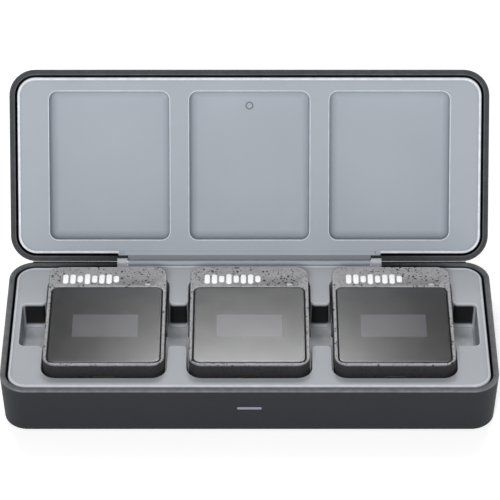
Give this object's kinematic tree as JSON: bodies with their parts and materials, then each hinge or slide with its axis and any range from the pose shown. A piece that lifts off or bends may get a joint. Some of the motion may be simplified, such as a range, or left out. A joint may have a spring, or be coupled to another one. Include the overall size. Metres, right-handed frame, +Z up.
{
  "type": "wireless instrument transmitter kit in charging case",
  "caption": "Hinged charging case, lid open, holding clip-on square-glass wireless transmitter and receiver units in wells, each lifting out, with side buttons and sockets.",
  "frame": {"origin": "centre of the anti-slip pad's underside, on the table", "axes": "+X along the case to the right, +Y from the front to the hinge, +Z up"},
  "size_m": [0.184, 0.1231, 0.083],
  "materials": {
    "graphite_shell": "fine matt moulded texture",
    "grey_liner": "soft satin",
    "speckled_shell": "matt grey with fine black flecks",
    "front_glass": "dark polished window",
    "display_panel": "smooth dark panel",
    "clear_light": "frosted white light guide",
    "rubber_pad": "matt, fine grain",
    "black_button": "fine matt",
    "green_board": "solder mask",
    "foil_cell": "satin foil pouch",
    "steel_part": "plain finish",
    "gold_contact": "gold plated"
  },
  "bodies": {
    "base": {"base_shell": "graphite_shell", "base_tray": "grey_liner", "anti_slip_pad": "rubber_pad", "status_light": "clear_light", "charge_inlet": "steel_part", "charge_board": "green_board", "case_battery": "foil_cell", "base_magnets": "steel_part", "base_screws": "steel_part", "contact_blocks": "black_button", "hinge_pin": "steel_part"},
    "lid": {"lid_shell": "graphite_shell", "lid_liner": "grey_liner", "lid_magnets": "steel_part"},
    "left_contact_pins": {"left_contact_pins": "gold_contact"},
    "centre_contact_pins": {"centre_contact_pins": "gold_contact"},
    "right_contact_pins": {"right_contact_pins": "gold_contact"},
    "left_transmitter": {"left_transmitter_front_housing": "speckled_shell", "left_transmitter_rear_housing": "graphite_shell", "left_transmitter_glass": "front_glass", "left_transmitter_display": "display_panel", "left_transmitter_status_lens": "clear_light", "left_transmitter_circuit_board": "green_board", "left_transmitter_battery": "foil_cell", "left_transmitter_usb_socket": "steel_part", "left_transmitter_audio_jack": "black_button", "left_transmitter_clip": "graphite_shell", "left_transmitter_charge_contacts": "gold_contact"},
    "left_transmitter_power_button": {"left_transmitter_power_button": "black_button"},
    "left_transmitter_link_button": {"left_transmitter_link_button": "black_button"},
    "receiver": {"receiver_front_housing": "speckled_shell", "receiver_rear_housing": "graphite_shell", "receiver_glass": "front_glass", "receiver_display": "display_panel", "receiver_status_lens": "clear_light", "receiver_circuit_board": "green_board", "receiver_battery": "foil_cell", "receiver_usb_socket": "steel_part", "receiver_audio_jack": "black_button", "receiver_clip": "graphite_shell", "receiver_charge_contacts": "gold_contact"},
    "receiver_power_button": {"receiver_power_button": "black_button"},
    "receiver_link_button": {"receiver_link_button": "black_button"},
    "right_transmitter": {"right_transmitter_front_housing": "speckled_shell", "right_transmitter_rear_housing": "graphite_shell", "right_transmitter_glass": "front_glass", "right_transmitter_display": "display_panel", "right_transmitter_status_lens": "clear_light", "right_transmitter_circuit_board": "green_board", "right_transmitter_battery": "foil_cell", "right_transmitter_usb_socket": "steel_part", "right_transmitter_audio_jack": "black_button", "right_transmitter_clip": "graphite_shell", "right_transmitter_charge_contacts": "gold_contact"},
    "right_transmitter_power_button": {"right_transmitter_power_button": "black_button"},
    "right_transmitter_link_button": {"right_transmitter_link_button": "black_button"}
  },
  "joints": [
    {"name": "lid_hinge", "type": "hinge", "parent": "base", "child": "lid", "pos_m": [0, 0.0372, 0.0206], "axis": [-1, 0, 0], "range_deg": [-122, 0]},
    {"name": "left_pins_press", "type": "slide", "parent": "base", "child": "left_contact_pins", "axis": [0, 0, 1], "range_m": [-0.0005, 0], "stiffness_N_per_m": 200},
    {"name": "centre_pins_press", "type": "slide", "parent": "base", "child": "centre_contact_pins", "axis": [0, 0, 1], "range_m": [-0.0005, 0], "stiffness_N_per_m": 200},
    {"name": "right_pins_press", "type": "slide", "parent": "base", "child": "right_contact_pins", "axis": [0, 0, 1], "range_m": [-0.0005, 0], "stiffness_N_per_m": 200},
    {"name": "left_transmitter_lift", "type": "slide", "parent": "base", "child": "left_transmitter", "axis": [0, 0, 1], "range_m": [0, 0.03]},
    {"name": "left_transmitter_power_button_press", "type": "slide", "parent": "left_transmitter", "child": "left_transmitter_power_button", "axis": [-1, 0, 0], "range_m": [0, 0.0004], "stiffness_N_per_m": 400},
    {"name": "left_transmitter_link_button_press", "type": "slide", "parent": "left_transmitter", "child": "left_transmitter_link_button", "axis": [1, 0, 0], "range_m": [0, 0.0004], "stiffness_N_per_m": 400},
    {"name": "receiver_lift", "type": "slide", "parent": "base", "child": "receiver", "axis": [0, 0, 1], "range_m": [0, 0.03]},
    {"name": "receiver_power_button_press", "type": "slide", "parent": "receiver", "child": "receiver_power_button", "axis": [-1, 0, 0], "range_m": [0, 0.0004], "stiffness_N_per_m": 400},
    {"name": "receiver_link_button_press", "type": "slide", "parent": "receiver", "child": "receiver_link_button", "axis": [1, 0, 0], "range_m": [0, 0.0004], "stiffness_N_per_m": 400},
    {"name": "right_transmitter_lift", "type": "slide", "parent": "base", "child": "right_transmitter", "axis": [0, 0, 1], "range_m": [0, 0.03]},
    {"name": "right_transmitter_power_button_press", "type": "slide", "parent": "right_transmitter", "child": "right_transmitter_power_button", "axis": [-1, 0, 0], "range_m": [0, 0.0004], "stiffness_N_per_m": 400},
    {"name": "right_transmitter_link_button_press", "type": "slide", "parent": "right_transmitter", "child": "right_transmitter_link_button", "axis": [1, 0, 0], "range_m": [0, 0.0004], "stiffness_N_per_m": 400}
  ]
}
